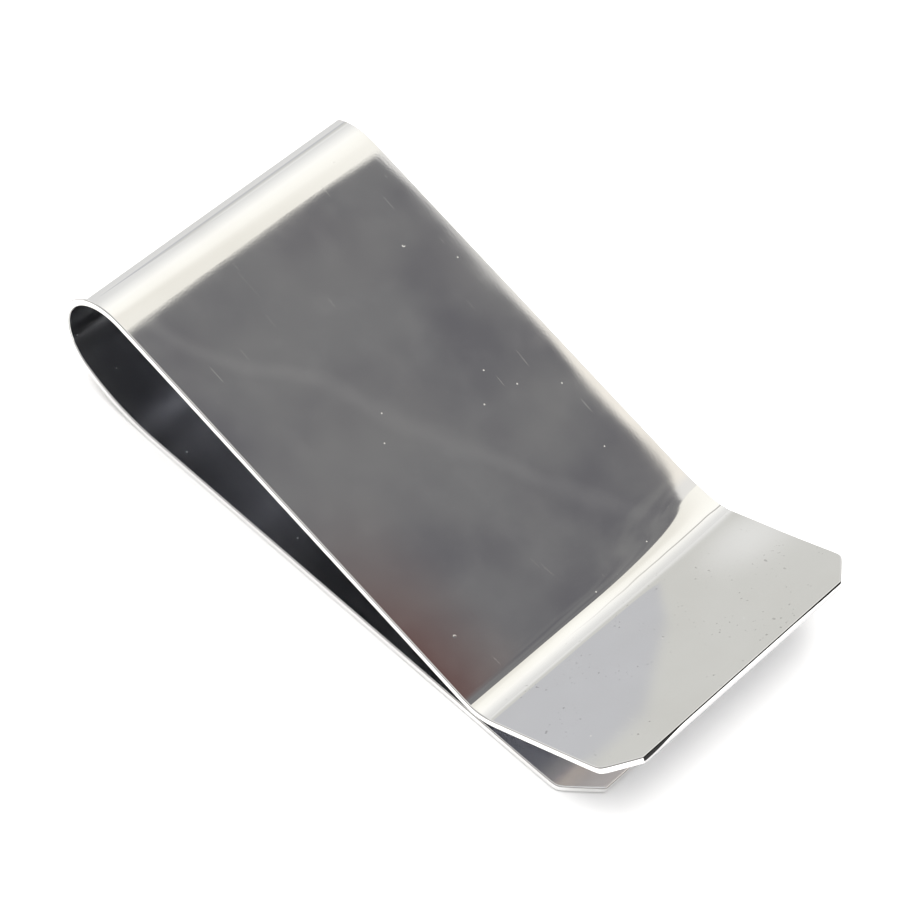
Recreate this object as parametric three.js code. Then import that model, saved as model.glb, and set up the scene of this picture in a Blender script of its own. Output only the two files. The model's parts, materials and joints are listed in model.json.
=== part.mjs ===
// A spring money clip: one strip of polished silver bent into a teardrop.
// Millimetres, +Z up. +X points from the spring bend to the thumb lip, Y runs
// across the strip, and the origin is under the middle of the clip.
//
// The strip is followed along its centre line, from the free end of the base
// leaf, back through the spring bend, and forward again to the thumb lip.
// Each stretch of it is one mesh, and each starts where the last one ended.

import * as THREE from 'three';

// The strip
const stripWidth = 25.4;
const stripThickness = 0.6;

// The corners cut off its two ends, measured across and along the strip
const cornerCutAcross = 2.4;
const baseCornerCutAlong = 2.4;
const lipCornerCutAlong = 1.9;

// The bends and flats, as radii and lengths of the centre line, in order
const baseLeafLength = 41.7;
const rearCurveRadius = 14.3;
const rearCurveTurn = 29.6;
const springBendRadius = 4.18;
const clampLeafSlope = 14.25;
const creaseRadius = 3.4;
const thumbLipSlope = 27.6;
const thumbLipLength = 12.25;

// Air left between the crease and the base leaf that it presses on
const contactGap = 0.05;

// The largest turn that one flat facet of a bend takes, in degrees
const facetTurn = 3;

// The spring bend turns through the half circle, less what the rear curve has
// turned already, plus the slope that the clamp leaf comes down at. It is in
// two stretches, which meet where the strip stands upright, at its rearmost.
const bendLowerTurn = 90 - rearCurveTurn;
const bendUpperTurn = 90 + clampLeafSlope;
const creaseTurn = clampLeafSlope + thumbLipSlope;

// The clamp leaf is as long as it takes to bring the crease down to the base.
const halfThickness = stripThickness / 2;
const cosine = (degrees) => Math.cos(THREE.MathUtils.degToRad(degrees));
const sine = (degrees) => Math.sin(THREE.MathUtils.degToRad(degrees));
const bendTopHeight = halfThickness
  + rearCurveRadius * (1 - cosine(rearCurveTurn))
  + springBendRadius * (cosine(rearCurveTurn) + cosine(clampLeafSlope));
const creaseBottomHeight = stripThickness + contactGap + halfThickness;
const creaseDrop = creaseRadius * (1 - cosine(clampLeafSlope));
const clampLeafLength =
  (bendTopHeight - creaseBottomHeight - creaseDrop) / sine(clampLeafSlope);

const polishedSilver = new THREE.MeshStandardMaterial({
  name: 'polished_silver',
  color: 0xdcdad6,
  metalness: 1.0,
  roughness: 0.12,
});

// The walk along the centre line, in the XZ plane. heading is the direction of
// travel in degrees up from +X, so 180 travels towards the rear.
const walk = { x: 0, z: halfThickness, heading: 180 };

// Puts a stretch, drawn from its own origin along its own +X, where the walk is.
function placeAtWalk(geometry, name) {
  const mesh = new THREE.Mesh(geometry, polishedSilver);
  mesh.name = name;
  mesh.position.set(walk.x, 0, walk.z);
  mesh.rotation.y = -THREE.MathUtils.degToRad(walk.heading);
  return mesh;
}

// A flat stretch, cut from the sheet in plan. startCut and endCut are how far
// along it the cut corners reach from each end; an end with 0 is square.
function flatStretch(name, length, startCut = 0, endCut = 0) {
  const side = stripWidth / 2;
  const cutSide = side - cornerCutAcross;
  const outline = new THREE.Shape();
  outline.moveTo(startCut, -side);
  outline.lineTo(length - endCut, -side);
  if (endCut > 0) outline.lineTo(length, -cutSide);
  if (endCut > 0) outline.lineTo(length, cutSide);
  outline.lineTo(length - endCut, side);
  outline.lineTo(startCut, side);
  if (startCut > 0) outline.lineTo(0, cutSide);
  if (startCut > 0) outline.lineTo(0, -cutSide);
  outline.closePath();
  const geometry = new THREE.ExtrudeGeometry(outline, {
    depth: stripThickness,
    bevelEnabled: false,
  });
  geometry.translate(0, 0, -halfThickness);
  const mesh = placeAtWalk(geometry, name);
  walk.x += length * cosine(walk.heading);
  walk.z += length * sine(walk.heading);
  return mesh;
}

// A bent stretch, cut from a ring. A positive turn bends towards the walker's
// left, a negative one to the right, and the ring's centre is on that side.
function bentStretch(name, radius, turn) {
  const left = Math.sign(turn);
  const sweep = THREE.MathUtils.degToRad(Math.abs(turn));
  const startAngle = -left * Math.PI / 2;
  const endAngle = startAngle + left * sweep;
  const centreHeight = left * radius;
  const outer = radius + halfThickness;
  const inner = radius - halfThickness;
  const section = new THREE.Shape();
  section.absarc(0, centreHeight, outer, startAngle, endAngle, left < 0);
  section.absarc(0, centreHeight, inner, endAngle, startAngle, left > 0);
  section.closePath();
  // An arc is drawn with twice as many facets as its curveSegments.
  const geometry = new THREE.ExtrudeGeometry(section, {
    depth: stripWidth,
    bevelEnabled: false,
    curveSegments: Math.ceil(Math.abs(turn) / facetTurn / 2),
  });
  geometry.rotateX(Math.PI / 2);
  geometry.translate(0, stripWidth / 2, 0);
  const mesh = placeAtWalk(geometry, name);
  const endHeading = walk.heading + turn;
  walk.x += left * radius * (sine(endHeading) - sine(walk.heading));
  walk.z += left * radius * (cosine(walk.heading) - cosine(endHeading));
  walk.heading = endHeading;
  return mesh;
}

// The part of the strip that lies still, and the part that springs open
const base = new THREE.Group();
base.add(flatStretch('base_leaf', baseLeafLength, baseCornerCutAlong, 0));
base.add(bentStretch('rear_curve', rearCurveRadius, -rearCurveTurn));
base.add(bentStretch('spring_bend_lower', springBendRadius, -bendLowerTurn));
const rearmostX = walk.x - halfThickness;

const clamp = new THREE.Group();
clamp.add(bentStretch('spring_bend_upper', springBendRadius, -bendUpperTurn));
clamp.add(flatStretch('clamp_leaf', clampLeafLength));
clamp.add(bentStretch('pinch_crease', creaseRadius, creaseTurn));
clamp.add(flatStretch('thumb_lip', thumbLipLength, 0, lipCornerCutAlong));
const lipEndX = walk.x + halfThickness * sine(thumbLipSlope);

// The walk began at the base leaf's end, so the whole clip moves to bring the
// middle of its length over the origin.
const moneyClip = new THREE.Group();
moneyClip.name = 'money_clip';
moneyClip.add(base, clamp);
moneyClip.position.x = -(rearmostX + lipEndX) / 2;

export default moneyClip;
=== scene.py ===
from functools import cache
import json
import math

import bpy
from mathutils import Matrix, Vector, noise


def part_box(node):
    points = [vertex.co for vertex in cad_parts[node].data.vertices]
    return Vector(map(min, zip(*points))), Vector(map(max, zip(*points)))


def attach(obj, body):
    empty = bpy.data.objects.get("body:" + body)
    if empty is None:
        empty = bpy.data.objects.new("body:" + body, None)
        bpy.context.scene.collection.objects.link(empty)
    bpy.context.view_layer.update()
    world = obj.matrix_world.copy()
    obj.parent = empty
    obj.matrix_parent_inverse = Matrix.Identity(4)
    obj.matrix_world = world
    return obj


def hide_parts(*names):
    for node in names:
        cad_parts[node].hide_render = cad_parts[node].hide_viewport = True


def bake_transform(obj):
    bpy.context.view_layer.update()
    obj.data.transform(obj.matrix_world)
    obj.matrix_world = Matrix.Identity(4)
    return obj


# A polished silver money clip on a white studio floor. Metres, +Z up, +X from
# the spring bend to the thumb lip. The clip is one strip, drawn as the seven
# sections that the CAD model has, and followed from the base leaf's free end.

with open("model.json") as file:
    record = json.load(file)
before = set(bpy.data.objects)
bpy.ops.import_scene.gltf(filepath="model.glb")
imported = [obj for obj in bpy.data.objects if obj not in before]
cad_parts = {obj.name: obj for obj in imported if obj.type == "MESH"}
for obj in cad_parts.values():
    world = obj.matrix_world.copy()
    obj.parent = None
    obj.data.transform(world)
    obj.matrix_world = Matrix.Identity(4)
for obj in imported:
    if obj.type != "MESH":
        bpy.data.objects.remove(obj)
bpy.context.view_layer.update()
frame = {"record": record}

MM = 0.001

# The strip's bends, as in the CAD model
REAR_CURVE_TURN = math.radians(29.6)
CLAMP_LEAF_SLOPE = math.radians(14.25)
THUMB_LIP_SLOPE = math.radians(27.6)

# The corners cut off the strip's two ends
CORNER_CUT_ACROSS = 2.4 * MM
BASE_CORNER_CUT_ALONG = 2.4 * MM
LIP_CORNER_CUT_ALONG = 1.9 * MM
CORNER_SOFTNESS = 0.12

# The tumbled rounding of every edge
EDGE_ROUNDING = 0.10 * MM

# How far the sheet is from flat, in waves of two sizes, given in millimetres
UNEVENNESS = 0.010 * MM
LONG_WAVE = 17
SHORT_WAVE = 7
SHORT_WAVE_SHARE = 0.25
SHORT_WAVE_SHIFT = Vector((0, 0, 5))

# The crease is bent less sharply at the far side, so the strip stands proud
# there: by how much, where, and over what length before and after it
FAR_LIFT = 0.38 * MM
FAR_LIFT_PAST_CREASE_START = 1.0 * MM
FAR_LIFT_RISE = 2.2 * MM
FAR_LIFT_FALL = 6.0 * MM

# The length of strip over which a bend eases into the flat beside it
BEND_EASE = 1.4 * MM
EASE_SAMPLES = 9

# How finely the mesh follows the strip, and round the rounding of a free end
FLAT_STEP = 0.8 * MM
EASE_STEP = 0.14 * MM
CORNER_STEP = 0.15 * MM
CORNER_REACH = 3.2 * MM
BEND_STEP = math.radians(2)
ACROSS_STEPS = 28
ROUNDING_STEPS = 4
END_TURNS = [math.radians(turn) for turn in (0, 22, 44, 66, 82)]

# The photograph's view: where the camera is, seen from the point it looks at
CAMERA_AZIMUTH = math.radians(35.52)
CAMERA_ELEVATION = math.radians(53.47)
CAMERA_ROLL = math.radians(9.90)
CAMERA_DISTANCE = 256.3 * MM
CAMERA_TARGET = Vector((-1.43, 1.20, 2.54)) * MM
CAMERA_LENS = 144.0

# The floor is just clear of the base leaf
FLOOR_HEIGHT = -0.03 * MM


# The centre line of the strip

def extent(node):
    low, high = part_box(node)
    return high - low


def straight(node, length):
    return {"node": node, "length": length, "curvature": 0.0}


def bend(node, radius, turn):
    curvature = math.copysign(1 / radius, turn)
    return {"node": node, "length": radius * abs(turn), "curvature": curvature}


def strip_sections():
    """The seven sections, in order, with the lengths and radii that the CAD boxes give."""
    half_thickness = extent("base_leaf").z / 2
    rear_sine = math.sin(REAR_CURVE_TURN)
    leaf_sine = math.sin(CLAMP_LEAF_SLOPE)
    lip_sine = math.sin(THUMB_LIP_SLOPE)
    rear_radius = extent("rear_curve").x / rear_sine - half_thickness
    bend_extent = extent("spring_bend_lower").x
    bend_radius = (bend_extent - half_thickness * (1 + rear_sine)) / (1 - rear_sine)
    leaf_run = extent("clamp_leaf").x - 2 * half_thickness * leaf_sine
    crease_radius = extent("pinch_crease").x / (leaf_sine + lip_sine) - half_thickness
    lip_run = extent("thumb_lip").x - 2 * half_thickness * lip_sine
    return [
        straight("base_leaf", extent("base_leaf").x),
        bend("rear_curve", rear_radius, -REAR_CURVE_TURN),
        bend("spring_bend_lower", bend_radius, REAR_CURVE_TURN - math.pi / 2),
        bend("spring_bend_upper", bend_radius, -math.pi / 2 - CLAMP_LEAF_SLOPE),
        straight("clamp_leaf", leaf_run / math.cos(CLAMP_LEAF_SLOPE)),
        bend("pinch_crease", crease_radius, CLAMP_LEAF_SLOPE + THUMB_LIP_SLOPE),
        straight("thumb_lip", lip_run / math.cos(THUMB_LIP_SLOPE)),
    ]


def advance(section, travelled):
    """The point and heading that far into a section."""
    x, z, heading = section["x"], section["z"], section["heading"]
    curvature = section["curvature"]
    if curvature == 0:
        return x + travelled * math.cos(heading), z + travelled * math.sin(heading), heading
    end_heading = heading + curvature * travelled
    x += (math.sin(end_heading) - math.sin(heading)) / curvature
    z -= (math.cos(end_heading) - math.cos(heading)) / curvature
    return x, z, end_heading


def join_sections(sections):
    """Gives each section its start: where the one before it ends."""
    base_low, base_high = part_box("base_leaf")
    x, z, heading, start = base_high.x, (base_low.z + base_high.z) / 2, math.pi, 0.0
    for section in sections:
        section.update(x=x, z=z, heading=heading, start=start)
        x, z, heading = advance(section, section["length"])
        start += section["length"]
    return sections


SECTIONS = join_sections(strip_sections())
SECTION = {section["node"]: section for section in SECTIONS}
STRIP_LENGTH = SECTIONS[-1]["start"] + SECTIONS[-1]["length"]
HALF_WIDTH = extent("base_leaf").y / 2
HALF_THICKNESS = extent("base_leaf").z / 2


def sharp_line(distance):
    """The point and heading of the centre line, with bends that begin and end at once."""
    inside = [section for section in SECTIONS if section["start"] <= distance]
    section = inside[-1] if inside else SECTIONS[0]
    return advance(section, distance - section["start"])


@cache
def centre_line(distance):
    """The point on the strip's centre line that far from the base leaf's free end, and the
    direction there. Both are averages over a short stretch, so that each bend eases into
    the flats beside it."""
    point, along = Vector(), Vector()
    for sample in range(EASE_SAMPLES):
        offset = BEND_EASE * ((sample + 0.5) / EASE_SAMPLES - 0.5)
        x, z, heading = sharp_line(distance + offset)
        point += Vector((x, 0, z)) / EASE_SAMPLES
        along += Vector((math.cos(heading), 0, math.sin(heading)))
    return point, along.normalized()


# The surface of the strip

def half_width(distance):
    """Half the strip's width, less what is cut off its corners near either end."""
    width = HALF_WIDTH
    for from_end, along in (
        (distance, BASE_CORNER_CUT_ALONG),
        (STRIP_LENGTH - distance, LIP_CORNER_CUT_ALONG),
    ):
        into_cut = 1 - from_end / along
        width -= CORNER_CUT_ACROSS * (into_cut + math.hypot(into_cut, CORNER_SOFTNESS)) / 2
    return width


def far_lift(distance, across):
    """How far the strip stands proud round the far side of the crease."""
    past = distance - SECTION["pinch_crease"]["start"] - FAR_LIFT_PAST_CREASE_START
    reach = FAR_LIFT_RISE if past < 0 else FAR_LIFT_FALL
    far_share = min(max(across / HALF_WIDTH, 0.0), 1.0)
    return FAR_LIFT * far_share ** 2 * (3 - 2 * far_share) * math.exp(-(past / reach) ** 2)


def unevenness(distance, across):
    """How far the sheet stands off its true shape: shallow waves, and the lift at the crease."""
    place = Vector((distance, across, 0)) / MM
    long_waves = noise.noise(place / LONG_WAVE)
    short_waves = noise.noise(place / SHORT_WAVE + SHORT_WAVE_SHIFT)
    waves = UNEVENNESS * (long_waves + SHORT_WAVE_SHARE * short_waves)
    return waves + far_lift(distance, across)


def slope_of(function, *place):
    """The slope of a function of one or two lengths, along each of them."""
    step = 0.05 * MM
    slopes = []
    for axis in range(len(place)):
        ahead = [value + step * (axis == index) for index, value in enumerate(place)]
        behind = [value - step * (axis == index) for index, value in enumerate(place)]
        slopes.append((function(*ahead) - function(*behind)) / (2 * step))
    return slopes


def section_loop():
    """The strip's outline across its width, as (width share, thickness share, out across, out
    through). A point is at those shares of the flat width and thickness, plus the rounding
    in the out direction."""
    quarter = math.pi / 2
    first_corner = []
    for step in range(1, ROUNDING_STEPS + 1):
        first_corner.append(quarter - quarter * step / ROUNDING_STEPS)
    second_corner = [-quarter * step / ROUNDING_STEPS for step in range(ROUNDING_STEPS)]
    loop = []
    for face in (1, -1):
        for step in range(ACROSS_STEPS + 1):
            loop.append((face * (2 * step / ACROSS_STEPS - 1), face, 0.0, float(face)))
        for side, angles in ((face, first_corner), (-face, second_corner)):
            for angle in angles:
                loop.append((face, side, face * math.cos(angle), face * math.sin(angle)))
    return loop


# The loop runs over the outer face, down one edge, back over the inner face, and up
# the other edge. Its first OUTER_COUNT points are the outer face's, and the inner
# face's are those from INNER_FIRST to INNER_LAST.
LOOP = section_loop()
OUTER_COUNT = ACROSS_STEPS + 1
INNER_FIRST = OUTER_COUNT + 2 * ROUNDING_STEPS
INNER_LAST = INNER_FIRST + OUTER_COUNT - 1


def strip_point(cut, loop_point):
    """A point on the strip's surface, its normal, and its place on the flat strip, in
    millimetres. A cut is (distance, turn, end): end is -1 at the base leaf's free end, 1 at
    the lip's and 0 between them, and turn is how far round that end's rounding the cut is."""
    distance, turn, end = cut
    width_share, thickness_share, out_across, out_through = loop_point
    rounding = EDGE_ROUNDING * math.cos(turn)
    distance -= end * EDGE_ROUNDING * (1 - math.sin(turn))
    widening, = slope_of(half_width, distance)
    lean = -math.atan(widening)
    flat_half_width = half_width(distance) - EDGE_ROUNDING / math.cos(lean)
    across = width_share * flat_half_width + rounding * out_across / math.cos(lean)
    through = thickness_share * (HALF_THICKNESS - EDGE_ROUNDING) + rounding * out_through
    lift = through + unevenness(distance, across)
    slope_along, slope_across = slope_of(unevenness, distance, across)

    centre, along = centre_line(distance)
    outward = Vector((-along.z, 0, along.x))
    sideways = Vector((0, 1, 0))
    point = centre + outward * lift + sideways * across
    side_normal = sideways * math.cos(lean)
    side_normal += along * math.copysign(math.sin(lean), width_share * lean)
    face_normal = outward - along * slope_along - sideways * slope_across
    normal = side_normal * out_across + face_normal * out_through
    normal = normal * math.cos(turn) + along * end * math.sin(turn)
    return point, normal.normalized(), Vector((distance, across, through)) / MM


# The mesh of each section

def spaced(first, last, step):
    """Distances from first up to, and not including, last, evenly spaced by at most step."""
    tolerance = 0.001
    count = math.ceil((last - first) / step - tolerance)
    return [first + (last - first) * index / count for index in range(count)]


def cuts_between(*stretches):
    """Cuts through stretches, each (where it starts, its longest step), up to where the last
    one starts."""
    distances = []
    for (first, step), (last, _) in zip(stretches, stretches[1:]):
        distances += spaced(first, last, step)
    distances.append(stretches[-1][0])
    return [(distance, 0.0, 0) for distance in distances]


def cuts_across(section):
    """Where the strip is cut across to draw a section."""
    start = section["start"]
    end = start + section["length"]
    if section["curvature"]:
        return cuts_between((start, BEND_STEP / abs(section["curvature"])), (end, None))
    first, first_step = start, EASE_STEP
    last, last_step = end, EASE_STEP
    first_end, last_end = start + BEND_EASE, end - BEND_EASE
    if section is SECTIONS[0]:
        first, first_end, first_step = 2 * EDGE_ROUNDING, CORNER_REACH, CORNER_STEP
    if section is SECTIONS[-1]:
        last, last_end, last_step = end - 2 * EDGE_ROUNDING, end - CORNER_REACH, CORNER_STEP
    stretches = [(first, first_step), (first_end, FLAT_STEP), (last_end, last_step), (last, None)]
    cuts = cuts_between(*stretches)
    if section is SECTIONS[0]:
        cuts = [(0.0, turn, -1) for turn in reversed(END_TURNS)] + cuts
    if section is SECTIONS[-1]:
        cuts += [(end, turn, 1) for turn in END_TURNS]
    return cuts


def side_faces(cut_count):
    """The faces between one cut and the next, and whether each is on the strip's inner face."""
    count = len(LOOP)
    faces, inner = [], []
    for ring in range(cut_count - 1):
        for step in range(count):
            here, beside = ring * count + step, ring * count + (step + 1) % count
            faces.append([here, here + count, beside + count, beside])
            inner.append(INNER_FIRST <= step < INNER_LAST)
    return faces, inner


def cap_faces():
    """The faces that close the strip's outline, as places in the loop."""
    faces = []
    for step in range(OUTER_COUNT - 1):
        faces.append([step, step + 1, INNER_LAST - step - 1, INNER_LAST - step])
    faces.append(list(range(OUTER_COUNT - 1, INNER_FIRST + 1)))
    faces.append(list(range(INNER_LAST, len(LOOP))) + [0])
    return faces


def section_mesh(section):
    """A closed mesh of one section, with true normals and the places on the flat strip kept."""
    cuts = cuts_across(section)
    surface = [strip_point(cut, loop_point) for cut in cuts for loop_point in LOOP]
    points = [point for point, _, _ in surface]
    faces, inner = side_faces(len(cuts))
    side_count = len(faces)
    last_ring = len(LOOP) * (len(cuts) - 1)
    faces += cap_faces()
    faces += [[last_ring + place for place in reversed(face)] for face in cap_faces()]

    mesh = bpy.data.meshes.new(section["node"] + "_silver")
    mesh.from_pydata(points, [], faces)
    blank = mesh.attributes.new("blank_mm", "FLOAT_VECTOR", "POINT")
    for item, (_, _, place) in zip(blank.data, surface):
        item.vector = place
    for polygon in mesh.polygons:
        polygon.use_smooth = polygon.index < side_count
        polygon.material_index = int(polygon.index < side_count and inner[polygon.index])
    mesh.update()
    corner_normals = []
    for polygon in mesh.polygons:
        on_side = polygon.index < side_count
        for corner in polygon.vertices:
            corner_normals.append(surface[corner][1] if on_side else polygon.normal.copy())
    mesh.normals_split_custom_set(corner_normals)
    return mesh


# Materials

def add_node(tree, kind, inputs=None, **settings):
    """A shader node with its settings, and its inputs linked or set."""
    node = tree.nodes.new(kind)
    for name, value in settings.items():
        setattr(node, name, value)
    for socket, value in (inputs or {}).items():
        if isinstance(value, bpy.types.NodeSocket):
            tree.links.new(value, node.inputs[socket])
        else:
            node.inputs[socket].default_value = value
    return node


def calculate(tree, operation, *values, clamp=False):
    inputs = dict(enumerate(values))
    return add_node(tree, "ShaderNodeMath", inputs, operation=operation, use_clamp=clamp).outputs[0]


def scaled(tree, value, factor):
    return calculate(tree, "MULTIPLY", value, factor)


def total(tree, *values):
    """The sum of several values, kept between nought and one."""
    result = values[0]
    for value in values[1:]:
        result = calculate(tree, "ADD", result, value, clamp=True)
    return result


def distance_off(tree, value, middle):
    """How far a value is from a middle one, either way."""
    return calculate(tree, "ABSOLUTE", calculate(tree, "SUBTRACT", value, middle))


def fade(tree, value, start, end, low=0.0, high=1.0):
    """low before start, high after end, and smooth between them."""
    inputs = {"Value": value, "From Min": start, "From Max": end, "To Min": low, "To Max": high}
    return add_node(tree, "ShaderNodeMapRange", inputs, interpolation_type="SMOOTHSTEP").outputs[0]


def parts_of(tree, place):
    """The three parts of a place or a direction."""
    return list(add_node(tree, "ShaderNodeSeparateXYZ", {0: place}).outputs)


def moved_by(tree, place, offset):
    inputs = {0: place, 1: offset}
    return add_node(tree, "ShaderNodeVectorMath", inputs, operation="ADD").outputs[0]


def mixed(tree, share, first, second):
    """The first colour where the share is nought, and the second where it is one."""
    inputs = {0: share, 6: first, 7: second}
    return add_node(tree, "ShaderNodeMix", inputs, data_type="RGBA").outputs[2]


def blank_place(tree):
    """The place on the flat strip, in millimetres: along it, across it, and through it."""
    return add_node(tree, "ShaderNodeAttribute", attribute_name="blank_mm").outputs["Vector"]


def clouds(tree, place, size, detail=2.0, seed=0.0):
    """Soft patches about that many millimetres across, as values around a half."""
    moved = moved_by(tree, place, (seed, -seed, seed))
    inputs = {"Vector": moved, "Scale": 1 / size, "Detail": detail}
    return add_node(tree, "ShaderNodeTexNoise", inputs).outputs[0]


def bowed_place(tree, place):
    """The same place, moved a little here and there, so that straight marks come out bowed."""
    drift_size = 14
    drift_reach = (3.0, 3.0, 0.0)
    inputs = {"Vector": place, "Scale": 1 / drift_size, "Detail": 0.0}
    drift = add_node(tree, "ShaderNodeTexNoise", inputs).outputs["Color"]
    inputs = {0: drift, 1: drift_reach, 2: place}
    return add_node(tree, "ShaderNodeVectorMath", inputs, operation="MULTIPLY_ADD").outputs[0]


# Four sets of hairline scratches: their angle to the strip in degrees, their length
# and width in millimetres, how rare they are, and what sets each pattern apart
HAIRLINES = (
    (28, 7, 0.08, 0.78, 3.0),
    (-41, 5, 0.07, 0.77, 11.0),
    (84, 6, 0.07, 0.78, 19.0),
    (7, 9, 0.07, 0.80, 27.0),
)
HAIRLINE_SOFTNESS = 0.04


def hairlines(tree, place, angle, length, width, rarity, seed):
    """Thin scratches that lie at one angle."""
    turned = add_node(tree, "ShaderNodeMapping", {
        "Vector": place,
        "Location": (seed, seed, 0),
        "Rotation": (0, 0, math.radians(angle)),
        "Scale": (1 / length, 1 / width, 0),
    })
    inputs = {"Vector": turned.outputs[0], "Scale": 1.0, "Detail": 1.0}
    lines = add_node(tree, "ShaderNodeTexNoise", inputs).outputs[0]
    return fade(tree, lines, rarity, rarity + HAIRLINE_SOFTNESS)


def scratches_on(tree, place, bowed):
    """Slightly bowed hairline scratches, which come in patches."""
    lines = total(tree, *[hairlines(tree, bowed, *shape) for shape in HAIRLINES])
    patches = fade(tree, clouds(tree, place, size=6, detail=1.0, seed=13.0), 0.40, 0.70)
    return scaled(tree, lines, patches)


def specks(tree, place, spacing, size, share, seed):
    """Small round marks: one in each cell of that spacing, kept in only a share of the cells."""
    solid_share = 0.4
    inputs = {"Vector": moved_by(tree, place, (seed, seed, 0)), "Scale": 1 / spacing}
    cells = add_node(tree, "ShaderNodeTexVoronoi", inputs, voronoi_dimensions="2D")
    chosen = add_node(tree, "ShaderNodeSeparateColor", {0: cells.outputs["Color"]}).outputs[0]
    kept = calculate(tree, "LESS_THAN", chosen, share)
    dot = fade(tree, cells.outputs["Distance"], size / spacing, solid_share * size / spacing)
    return scaled(tree, dot, kept)


def wipe_mark(tree, place):
    """A faint broad smear that runs slantwise down the clamp leaf, where it was last wiped."""
    slant, begins_across = 0.57, -11.5
    wander_size, wander_width = 9, 5.0
    reach_across = 1.3
    leaf_middle, full_reach, whole_reach = 17, 14, 20
    along_strip, across, _ = parts_of(tree, place)
    along = calculate(tree, "SUBTRACT", along_strip, SECTION["clamp_leaf"]["start"] / MM)
    line = calculate(tree, "MULTIPLY_ADD", along, slant, begins_across)
    wander = clouds(tree, place, wander_size, detail=1.0, seed=3.1)
    wander = calculate(tree, "MULTIPLY_ADD", wander, wander_width, -wander_width / 2)
    off = distance_off(tree, across, calculate(tree, "ADD", line, wander))
    smear = fade(tree, off, reach_across, 0.0)
    on_leaf = fade(tree, distance_off(tree, along, leaf_middle), whole_reach, full_reach)
    return scaled(tree, smear, on_leaf)


def edge_line(tree, place):
    """A dark line along the rounding of every edge."""
    lowest, full_from = 0.105, 0.075
    full_to, highest = 0.035, 0.012
    _, _, through = parts_of(tree, place)
    off_middle = calculate(tree, "ABSOLUTE", through)
    face_height = HALF_THICKNESS / MM
    above_side = fade(tree, off_middle, face_height - lowest, face_height - full_from)
    below_face = fade(tree, off_middle, face_height - highest, face_height - full_to)
    return scaled(tree, above_side, below_face)


def lip_end_tones(tree, place):
    """How black and how grey the lip's end face is: a black line under its top edge, widest at
    the near corner, and a grey lower half, a painted reflection of the shadowed floor."""
    line_bottom, near_corner_bottom, far_corner_drop = 0.18, -0.10, 0.06
    near_widening, far_widening = (-5.8, -9.8), (5.0, 9.0)
    line_softness = 0.03
    shadow_reflection_from, shadow_reflection_full = 0.02, -0.06
    before_end, nearer_end = 0.06, 0.03
    along, across, through = parts_of(tree, place)
    lip_end = STRIP_LENGTH / MM
    on_end = fade(tree, along, lip_end - before_end, lip_end - nearer_end)
    bottom = fade(tree, across, *near_widening, line_bottom, near_corner_bottom)
    drop = fade(tree, across, *far_widening, high=far_corner_drop)
    above_bottom = calculate(tree, "SUBTRACT", through, calculate(tree, "SUBTRACT", bottom, drop))
    line = fade(tree, above_bottom, 0.0, line_softness)
    # The lower half of the end face is greyed, a painted reflection of the shadowed floor
    shadow_reflection = fade(tree, through, shadow_reflection_from, shadow_reflection_full)
    return scaled(tree, on_end, line), scaled(tree, on_end, shadow_reflection)


def crease_line(tree, place):
    """A fine dark line in the crease, fading out across the strip."""
    share_of_crease = 0.55
    wander_size, wander_width = 4, 0.5
    full_reach, whole_reach = 0.03, 0.09
    faint_across, strong_across = -6.0, 11.0
    along, across, _ = parts_of(tree, place)
    crease = SECTION["pinch_crease"]
    middle = (crease["start"] + share_of_crease * crease["length"]) / MM
    wander = calculate(tree, "SUBTRACT", clouds(tree, place, wander_size, seed=8.3), 0.5)
    wandered = calculate(tree, "MULTIPLY_ADD", wander, wander_width, along)
    line = fade(tree, distance_off(tree, wandered, middle), whole_reach, full_reach)
    return scaled(tree, line, fade(tree, across, faint_across, strong_across))


def lip_marks(tree, place):
    """Small dull marks on the thumb lip and the crease, where notes and thumbs rub."""
    spot_size, patch_size = 0.36, 3.0
    first_into_crease, all_into_crease = 1.0, 2.6
    along, _, _ = parts_of(tree, place)
    start = SECTION["pinch_crease"]["start"] / MM
    less_shaded_end = fade(tree, along, start + first_into_crease, start + all_into_crease)
    spots = fade(tree, clouds(tree, place, spot_size, detail=1.5, seed=31.0), 0.65, 0.75)
    patches = fade(tree, clouds(tree, place, patch_size, seed=17.0), 0.48, 0.60)
    return scaled(tree, less_shaded_end, scaled(tree, spots, patches))


# Dark lines along the edges and the crease, dull marks on the lip, and the two tones of the lip's
# end face: a black line, and a grey that is a painted reflection of the shadowed floor
DARK_LINES_AND_GRIME = (0.16, 0.15, 0.14, 1)
END_LINE_BLACK = (0.02, 0.02, 0.02, 1)
SHADOW_REFLECTION_GREY = (0.56, 0.555, 0.56, 1)


def aged_colour(tree, place, haze, pits, bright, dull, free_end):
    """The silver's colour: duller under haze and in pits, dark along the edges and the crease,
    lighter at the base leaf's free end, where the inner face has less painted shade, and with a
    black line and a painted reflection of the shadowed floor on the lip's end face."""
    less_shaded_from, less_shaded_full = 3.1, 2.3
    along, _, _ = parts_of(tree, place)
    dullness = total(tree, scaled(tree, haze, 0.6), scaled(tree, pits, 0.9))
    colour = mixed(tree, dullness, bright, dull)
    # Lighter towards the base leaf's free end, where the inner face has less painted shade
    colour = mixed(tree, fade(tree, along, less_shaded_from, less_shaded_full), colour, free_end)
    dark_lines_and_grime = total(
        tree,
        scaled(tree, edge_line(tree, place), 0.8),
        scaled(tree, crease_line(tree, place), 0.6),
        scaled(tree, lip_marks(tree, place), 0.35),
    )
    colour = mixed(tree, dark_lines_and_grime, colour, DARK_LINES_AND_GRIME)
    blackened, shadow_reflection = lip_end_tones(tree, place)
    # Painted reflection of the shadowed floor on the lower half of the lip's end face
    colour = mixed(tree, shadow_reflection, colour, SHADOW_REFLECTION_GREY)
    return mixed(tree, blackened, colour, END_LINE_BLACK)


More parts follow.
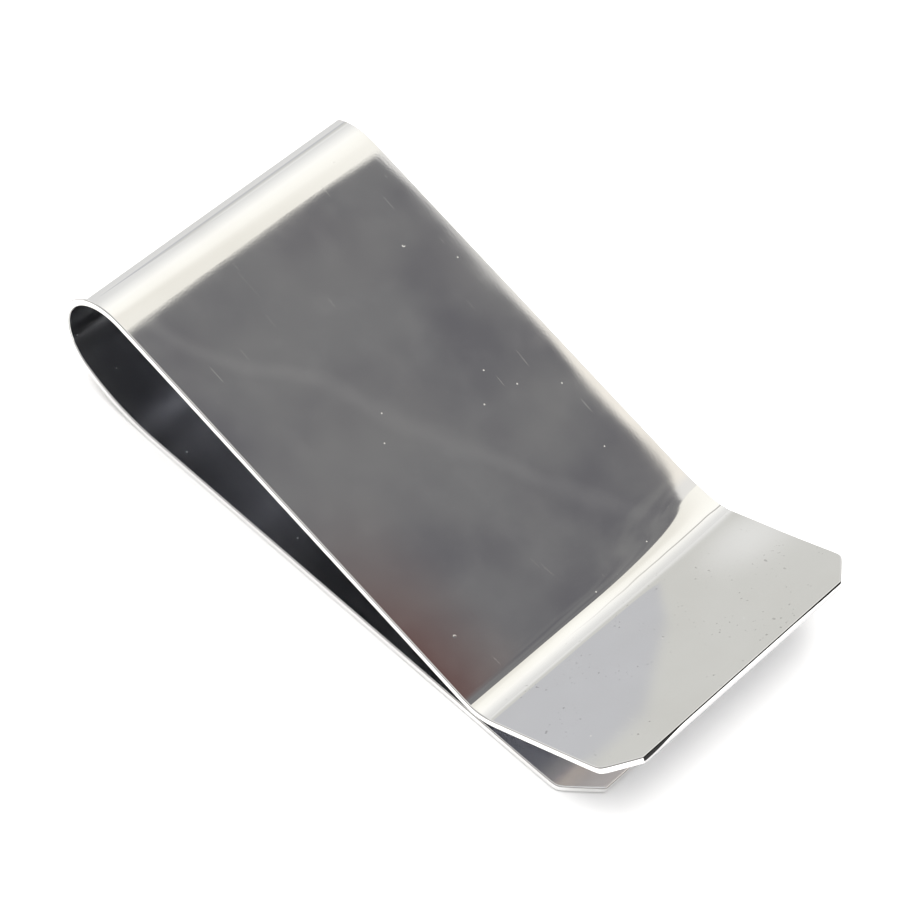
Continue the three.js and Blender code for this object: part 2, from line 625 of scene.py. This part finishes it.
def relief(tree, place, scratches, holes, strength):
    """The fine grain of the metal, with its scratches and holes, as a bumped normal. The
    heights are shares of the deepest hole."""
    deepest = 0.006 * MM
    grain_size, grain_height = 0.16, 0.04
    scratch_depth = 0.15
    grain = calculate(tree, "SUBTRACT", clouds(tree, place, grain_size, seed=1.3), 0.5)
    grooves = scaled(tree, scratches, -scratch_depth)
    height = calculate(tree, "MULTIPLY_ADD", grain, grain_height, grooves)
    height = calculate(tree, "SUBTRACT", height, holes)
    inputs = {"Strength": strength, "Distance": deepest, "Height": height}
    return add_node(tree, "ShaderNodeBump", inputs).outputs[0]


def silver_material(name, bright, dull, free_end, base_roughness, haze_roughness, mark_strength):
    """Silver with uneven haze, wiped smears, hairline scratches, and tiny pits and dents.
    free_end is its colour at the base leaf's free end."""
    material = bpy.data.materials.new(name)
    material.use_nodes = True
    tree = material.node_tree
    tree.nodes.clear()
    place = blank_place(tree)
    bowed = bowed_place(tree, place)

    haze = fade(tree, clouds(tree, place, size=9, detail=3.0, seed=7.7), 0.38, 0.72)
    smudges = fade(tree, clouds(tree, place, size=2.6, detail=4.0, seed=21.0), 0.45, 0.75)
    smear = wipe_mark(tree, place)
    film = total(
        tree,
        scaled(tree, haze, 0.5),
        scaled(tree, smudges, 0.2),
        scaled(tree, smear, 0.35),
    )
    scratches = scratches_on(tree, place, bowed)
    pits = specks(tree, bowed, spacing=1.9, size=0.07, share=0.025, seed=4.4)
    dents = specks(tree, bowed, spacing=6.1, size=0.14, share=0.08, seed=9.1)

    hazed = calculate(tree, "MULTIPLY_ADD", film, haze_roughness, base_roughness)
    scratched = scaled(tree, scratches, 0.06 * mark_strength)
    shader = add_node(tree, "ShaderNodeBsdfPrincipled", {
        "Base Color": aged_colour(tree, place, haze, pits, bright, dull, free_end),
        "Metallic": calculate(tree, "MULTIPLY_ADD", film, -0.035, 1.0),
        "Roughness": total(tree, hazed, scratched, scaled(tree, pits, 0.25)),
        "Normal": relief(tree, place, scratches, total(tree, pits, dents), 0.5 * mark_strength),
    })
    output = add_node(tree, "ShaderNodeOutputMaterial", {0: shader.outputs[0]})
    output.is_active_output = True
    return material


def polished_face():
    """The polished outer face and edges."""
    bright = (0.95, 0.945, 0.935, 1)
    dull = (0.86, 0.85, 0.83, 1)
    return silver_material(
        "polished_silver_face", bright, dull, free_end=bright,
        base_roughness=0.022, haze_roughness=0.035, mark_strength=1.0,
    )


def unpolished_shaded_inside():
    """The inner face: rougher, being unpolished, and with painted shade, greyer and bluer than the
    polished one, and lighter and warmer at the base leaf's end.
    """
    # Painted shade: these greys stand for the shade inside the clip
    bright = (0.57, 0.575, 0.60, 1)
    dull = (0.46, 0.46, 0.48, 1)
    # The base leaf's free end, lighter and warmer, with less painted shade
    less_shaded_end = (0.86, 0.81, 0.77, 1)
    return silver_material(
        "unpolished_silver_inside_painted_shade", bright, dull, free_end=less_shaded_end,
        base_roughness=0.16, haze_roughness=0.12, mark_strength=0.8,
    )


# The studio

def camera_axes():
    """The camera's own right, up and backward directions."""
    back = Vector((
        math.sin(CAMERA_AZIMUTH) * math.cos(CAMERA_ELEVATION),
        -math.cos(CAMERA_AZIMUTH) * math.cos(CAMERA_ELEVATION),
        math.sin(CAMERA_ELEVATION),
    ))
    level = Vector((math.cos(CAMERA_AZIMUTH), math.sin(CAMERA_AZIMUTH), 0))
    upright = back.cross(level)
    right = level * math.cos(CAMERA_ROLL) + upright * math.sin(CAMERA_ROLL)
    return right, back.cross(right), back


CAMERA_PLACE = CAMERA_TARGET + camera_axes()[2] * CAMERA_DISTANCE


def add_camera():
    data = bpy.data.cameras.new("camera")
    data.lens = CAMERA_LENS
    data.sensor_width = 36
    data.clip_start = 0.01
    camera = bpy.data.objects.new("camera", data)
    bpy.context.scene.collection.objects.link(camera)
    rotation = Matrix(camera_axes()).transposed().to_4x4()
    camera.matrix_world = Matrix.Translation(CAMERA_PLACE) @ rotation
    bpy.context.scene.camera = camera


def add_mesh(name, points, faces, material):
    mesh = bpy.data.meshes.new(name)
    mesh.from_pydata(points, [], faces)
    mesh.materials.append(material)
    thing = bpy.data.objects.new(name, mesh)
    bpy.context.scene.collection.objects.link(thing)
    return thing


def white_paper():
    """The floor's paper, with painted shade: its colour darkens a little away from the clip, as if
    less light reached it there.
    """
    near, far = (0.90, 0.90, 0.905, 1), (0.80, 0.80, 0.80, 1)
    darkens_from, darkens_to = 60 * MM, 200 * MM
    material = bpy.data.materials.new("white_paper")
    material.use_nodes = True
    tree = material.node_tree
    shader = tree.nodes["Principled BSDF"]
    place = add_node(tree, "ShaderNodeNewGeometry").outputs["Position"]
    length = add_node(tree, "ShaderNodeVectorMath", {0: place}, operation="LENGTH").outputs["Value"]
    paper = mixed(tree, fade(tree, length, darkens_from, darkens_to), near, far)
    tree.links.new(paper, shader.inputs["Base Color"])
    shader.inputs["Roughness"].default_value = 0.9
    shader.inputs["Specular IOR Level"].default_value = 0.1
    return material


def add_floor():
    material = white_paper()
    reach = 2.0
    corners = [(-reach, -reach), (reach, -reach), (reach, reach), (-reach, reach)]
    points = [(x, y, FLOOR_HEIGHT) for x, y in corners]
    add_mesh("floor", points, [(0, 1, 2, 3)], material)


# The sky's brightness and colour at each height, as the height's sine: on the
# far side of the room, and all round the rest of it. The rest gives way to the
# far side between the last two values, which are sines too.
FAR_SKY = (
    (-1.0, (0.70, 0.70, 0.71)),
    (0.0, (0.73, 0.73, 0.73)),
    (0.30, (0.75, 0.75, 0.745)),
    (0.45, (0.80, 0.80, 0.79)),
    (0.58, (0.92, 0.92, 0.90)),
    (0.72, (1.07, 1.06, 1.02)),
    (0.81, (1.05, 1.04, 0.98)),
    (0.845, (1.02, 1.005, 0.945)),
    (0.88, (0.88, 0.86, 0.795)),
    (1.0, (1.00, 0.99, 0.95)),
)
ROOM_SKY = (
    (-1.0, (0.40, 0.40, 0.41)),
    (0.0, (0.42, 0.42, 0.43)),
    (0.12, (0.60, 0.60, 0.61)),
    (0.22, (1.05, 1.05, 1.03)),
    (0.34, (0.72, 0.72, 0.72)),
    (0.48, (0.80, 0.80, 0.79)),
    (0.62, (0.50, 0.50, 0.51)),
    (0.80, (0.66, 0.66, 0.655)),
    (1.0, (0.86, 0.85, 0.83)),
)
ROOM_UP_TO = 0.16
FAR_SIDE_FROM = 0.36


def sky_ramp(tree, height, levels):
    """The colour at a height, from a table of levels."""
    share = calculate(tree, "MULTIPLY_ADD", height, 0.5, 0.5)
    ramp = add_node(tree, "ShaderNodeValToRGB", {0: share})
    stops = ramp.color_ramp.elements
    while len(stops) < len(levels):
        stops.new(0.5)
    for stop, (sine, colour) in zip(stops, levels):
        stop.position = (sine + 1) / 2
        stop.color = (*colour, 1)
    return ramp.outputs[0]


def add_sky():
    """A soft white studio round the clip. Away from its bright far side, the room has darker
    and lighter bands, as furniture and windows give."""
    world = bpy.data.worlds.new("studio")
    bpy.context.scene.world = world
    world.use_nodes = True
    tree = world.node_tree
    tree.nodes.clear()
    direction = add_node(tree, "ShaderNodeTexCoord").outputs["Generated"]
    _, far, height = parts_of(tree, direction)
    far_share = fade(tree, far, ROOM_UP_TO, FAR_SIDE_FROM)
    room_sky = sky_ramp(tree, height, ROOM_SKY)
    far_sky = sky_ramp(tree, height, FAR_SKY)
    colour = mixed(tree, far_share, room_sky, far_sky)
    background = add_node(tree, "ShaderNodeBackground", {"Color": colour, "Strength": 1.0})
    add_node(tree, "ShaderNodeOutputWorld", {0: background.outputs[0]})


def add_softbox():
    """The main light on the floor: a wide soft box overhead, a little to the left."""
    data = bpy.data.lights.new("softbox", "AREA")
    data.shape = "SQUARE"
    data.size = 0.60
    data.energy = 4.2
    data.color = (1.0, 0.99, 0.97)
    softbox = bpy.data.objects.new("softbox", data)
    bpy.context.scene.collection.objects.link(softbox)
    softbox.visible_glossy = False
    place = Vector((-0.06, 0.02, 0.48))
    facing = place.to_track_quat("Z", "Y").to_matrix().to_4x4()
    softbox.matrix_world = Matrix.Translation(place) @ facing


# What the camera sees mirrored in a flat of the clip hangs this far from it.
CARD_DISTANCE = 0.35
CARD_STEPS = 12


def mirrored_place(section, along, across):
    """The point that the camera sees mirrored at a place on a flat section's outer face."""
    x, z, heading = advance(section, along)
    outward = Vector((-math.sin(heading), 0, math.cos(heading)))
    point = Vector((x, across, z)) + outward * HALF_THICKNESS
    sight = (point - CAMERA_PLACE).normalized()
    return point + sight.reflect(outward) * CARD_DISTANCE


def add_card(name, node, along_span, across_span, material):
    """A card hung where a flat section mirrors it, over a stretch of that section in metres.
    Only mirror reflections show it, so it casts no shadow."""
    section = SECTION[node]
    points, places, faces = [], [], []
    for row in range(CARD_STEPS + 1):
        for column in range(CARD_STEPS + 1):
            along = along_span[0] + (along_span[1] - along_span[0]) * row / CARD_STEPS
            across = across_span[0] + (across_span[1] - across_span[0]) * column / CARD_STEPS
            points.append(mirrored_place(section, along, across))
            places.append(Vector((along, across, 0)) / MM)
    for row in range(CARD_STEPS):
        for column in range(CARD_STEPS):
            here = row * (CARD_STEPS + 1) + column
            faces.append((here, here + 1, here + CARD_STEPS + 2, here + CARD_STEPS + 1))
    card = add_mesh(name, points, faces, material)
    mirrored = card.data.attributes.new("mirrored_mm", "FLOAT_VECTOR", "POINT")
    for item, place in zip(mirrored.data, places):
        item.vector = place
    card.visible_camera = False
    card.visible_diffuse = False
    card.visible_shadow = False


def card_material(name, paint):
    """A card's glow, from a function that gives its colour and its share of cover at a place."""
    material = bpy.data.materials.new(name)
    material.use_nodes = True
    tree = material.node_tree
    tree.nodes.clear()
    place = add_node(tree, "ShaderNodeAttribute", attribute_name="mirrored_mm").outputs["Vector"]
    colour, cover = paint(tree, place)
    glow = add_node(tree, "ShaderNodeEmission", {"Color": colour, "Strength": 1.0})
    clear = add_node(tree, "ShaderNodeBsdfTransparent")
    inputs = {0: cover, 1: clear.outputs[0], 2: glow.outputs[0]}
    both = add_node(tree, "ShaderNodeMixShader", inputs)
    add_node(tree, "ShaderNodeOutputMaterial", {0: both.outputs[0]})
    return material


def rounded_cover(tree, along, across, along_span, across_span, corner, softness):
    """One inside a rectangle with round corners and nought outside, with soft edges."""
    beyond = []
    for value, (low, high) in ((along, along_span), (across, across_span)):
        off_middle = distance_off(tree, value, (low + high) / 2)
        past = calculate(tree, "SUBTRACT", off_middle, (high - low) / 2 - corner)
        beyond.append(calculate(tree, "MAXIMUM", past, 0.0))
    square_across = scaled(tree, beyond[1], beyond[1])
    squares = calculate(tree, "MULTIPLY_ADD", beyond[0], beyond[0], square_across)
    outside = calculate(tree, "SQRT", squares)
    return fade(tree, outside, corner + softness, corner - softness)


def dark_card_paint(tree, place):
    """The dark camera side of the room, mirrored in the clamp leaf: grey, with a warm near
    corner, and with a pale rim along its far edge."""
    darker_grey, lighter_grey = (0.135, 0.133, 0.145, 1), (0.185, 0.185, 0.190, 1)
    warm_grey = (0.145, 0.088, 0.082, 1)
    rear_rim, front_rim = (0.84, 0.83, 0.81, 1), (0.95, 0.91, 0.84, 1)
    along, across, _ = parts_of(tree, place)
    cover = rounded_cover(tree, along, across, (0.9, 38.0), (-22.0, 20.0), 1.5, 0.35)
    inside_rim = rounded_cover(tree, along, across, (-4.0, 42.0), (-22.0, 12.15), 2.0, 0.3)
    mottle = fade(tree, clouds(tree, place, size=8, seed=2.2), 0.3, 0.7)
    grey = mixed(tree, mottle, darker_grey, lighter_grey)
    near = fade(tree, across, -6.0, -13.5)
    front = fade(tree, along, 16.0, 33.0)
    dark = mixed(tree, scaled(tree, near, front), grey, warm_grey)
    rim = mixed(tree, fade(tree, along, 10.0, 24.0), rear_rim, front_rim)
    return mixed(tree, inside_rim, rim, dark), cover


def cool_card_paint(tree, place):
    """Two grey walls mirrored in the lip, the nearer one cooler, whose edge crosses it slantwise,
    and paler beyond the lip's end."""
    cool_grey, warm_grey = (0.55, 0.556, 0.58, 1), (0.64, 0.64, 0.615, 1)
    pale = (0.82, 0.82, 0.81, 1)
    slant, edge_in_middle, edge_limit = -0.62, 4.8, 9.0
    edge_softness = 0.8
    along, across, _ = parts_of(tree, place)
    edge = calculate(tree, "MULTIPLY_ADD", across, slant, edge_in_middle)
    past_edge = calculate(tree, "SUBTRACT", along, calculate(tree, "MINIMUM", edge, edge_limit))
    grey = mixed(tree, fade(tree, past_edge, -edge_softness, edge_softness), cool_grey, warm_grey)
    colour = mixed(tree, fade(tree, along, 13.5, 26.0), grey, pale)
    cover = rounded_cover(tree, along, across, (-1.5, 32.0), (-22.0, 20.0), 1.0, 0.8)
    return colour, cover


def add_cards():
    dark = card_material("dark_card", dark_card_paint)
    add_card("dark_card", "clamp_leaf", (-1 * MM, 40 * MM), (-24 * MM, 21 * MM), dark)
    cool = card_material("cool_card", cool_card_paint)
    add_card("cool_card", "thumb_lip", (-3 * MM, 34 * MM), (-24 * MM, 22 * MM), cool)


# The clip

# The hinge stands for the spring bend, whose two sections are left where they are
# drawn, attached to neither body.
BENDING_NODES = ("spring_bend_lower", "spring_bend_upper")


def add_clip():
    face, inside = polished_face(), unpolished_shaded_inside()
    for body, nodes in frame["record"]["behaviour"]["bodies"].items():
        for node in nodes:
            mesh = section_mesh(SECTION[node])
            mesh.materials.append(face)
            mesh.materials.append(inside)
            piece = bpy.data.objects.new(node + "_silver", mesh)
            bpy.context.scene.collection.objects.link(piece)
            if node in BENDING_NODES:
                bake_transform(piece)
            else:
                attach(piece, body)
            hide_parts(node)


add_camera()
add_clip()
add_floor()
add_sky()
add_softbox()
add_cards()
bpy.context.scene.view_settings.view_transform = "Standard"
